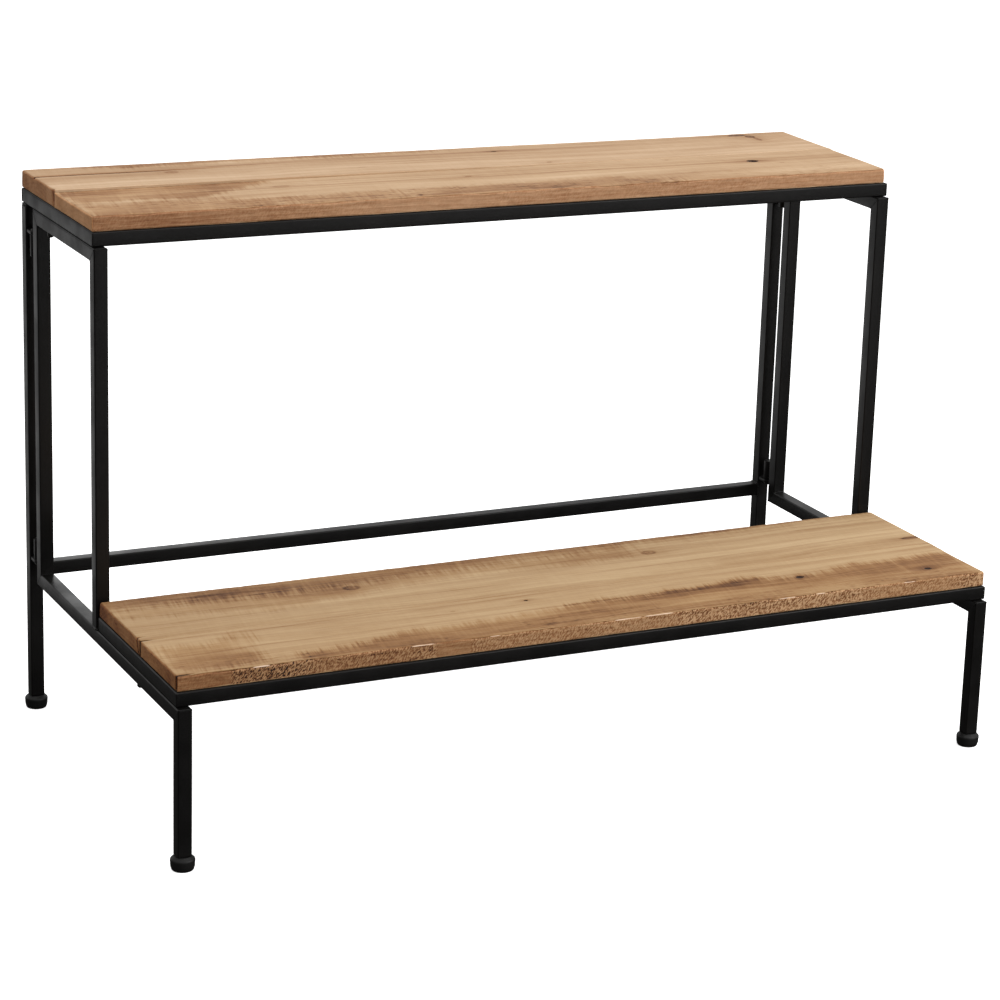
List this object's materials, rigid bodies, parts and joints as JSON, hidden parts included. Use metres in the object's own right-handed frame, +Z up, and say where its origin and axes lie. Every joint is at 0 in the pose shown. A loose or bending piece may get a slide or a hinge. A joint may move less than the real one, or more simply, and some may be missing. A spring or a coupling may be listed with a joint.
{
  "type": "two-tier plant stand",
  "caption": "Folding stepped plant stand: black square-tube side frames hinged to a back frame carry loose tube-framed shelves of rough-sawn planks.",
  "frame": {"origin": "on the floor, at the middle of the stand's width and depth", "axes": "+X to the right along the shelves, +Y to the back, +Z up"},
  "size_m": [0.8088, 0.4348, 0.5186],
  "materials": {
    "black_coat": "satin black powder coat on steel tube",
    "black_plastic": "matt moulded",
    "pin_steel": "blackened steel",
    "zinc_screw": "zinc plated",
    "sawn_wood": "rough-sawn, unsealed"
  },
  "bodies": {
    "back_frame": {"back_lower_rail": "black_coat", "back_upper_rail": "black_coat", "left_rear_leg": "black_coat", "left_rear_foot": "black_plastic", "left_rear_leg_cap": "black_plastic", "left_upper_hinge_lug": "black_coat", "left_upper_hinge_pin": "pin_steel", "left_lower_hinge_lug": "black_coat", "left_lower_hinge_pin": "pin_steel", "right_rear_leg": "black_coat", "right_rear_foot": "black_plastic", "right_rear_leg_cap": "black_plastic", "right_upper_hinge_lug": "black_coat", "right_upper_hinge_pin": "pin_steel", "right_lower_hinge_lug": "black_coat", "right_lower_hinge_pin": "pin_steel"},
    "left_side_frame": {"left_front_leg": "black_coat", "left_front_foot": "black_plastic", "left_rear_post": "black_coat", "left_front_post": "black_coat", "left_lower_rail": "black_coat", "left_upper_rail": "black_coat", "left_upper_stud": "pin_steel", "left_lower_stud": "pin_steel", "left_upper_hinge_barrel": "black_coat", "left_lower_hinge_barrel": "black_coat"},
    "right_side_frame": {"right_front_leg": "black_coat", "right_front_foot": "black_plastic", "right_rear_post": "black_coat", "right_front_post": "black_coat", "right_lower_rail": "black_coat", "right_upper_rail": "black_coat", "right_upper_stud": "pin_steel", "right_lower_stud": "pin_steel", "right_upper_hinge_barrel": "black_coat", "right_lower_hinge_barrel": "black_coat"},
    "upper_shelf": {"upper_shelf_front_tube": "black_coat", "upper_shelf_back_tube": "black_coat", "upper_shelf_left_tube": "black_coat", "upper_shelf_right_tube": "black_coat", "upper_shelf_left_bar": "black_coat", "upper_shelf_right_bar": "black_coat", "upper_shelf_front_plank": "sawn_wood", "upper_shelf_back_plank": "sawn_wood", "upper_shelf_left_front_screw": "zinc_screw", "upper_shelf_left_back_screw": "zinc_screw", "upper_shelf_right_front_screw": "zinc_screw", "upper_shelf_right_back_screw": "zinc_screw"},
    "lower_shelf": {"lower_shelf_front_tube": "black_coat", "lower_shelf_back_tube": "black_coat", "lower_shelf_left_tube": "black_coat", "lower_shelf_right_tube": "black_coat", "lower_shelf_left_bar": "black_coat", "lower_shelf_right_bar": "black_coat", "lower_shelf_front_plank": "sawn_wood", "lower_shelf_back_plank": "sawn_wood", "lower_shelf_left_front_screw": "zinc_screw", "lower_shelf_left_back_screw": "zinc_screw", "lower_shelf_right_front_screw": "zinc_screw", "lower_shelf_right_back_screw": "zinc_screw"}
  },
  "joints": [
    {"name": "left_fold", "type": "hinge", "parent": "back_frame", "child": "left_side_frame", "pos_m": [-0.39365, 0.18965, 0.15], "axis": [0, 0, 1], "range_deg": [0, 90]},
    {"name": "right_fold", "type": "hinge", "parent": "back_frame", "child": "right_side_frame", "pos_m": [0.39365, 0.18965, 0.15], "axis": [0, 0, -1], "range_deg": [0, 86]},
    {"name": "upper_shelf_lift", "type": "slide", "parent": "back_frame", "child": "upper_shelf", "axis": [0, 0, 1], "range_m": [0, 0.15]},
    {"name": "lower_shelf_lift", "type": "slide", "parent": "back_frame", "child": "lower_shelf", "axis": [0, 0, 1], "range_m": [0, 0.15]}
  ]
}
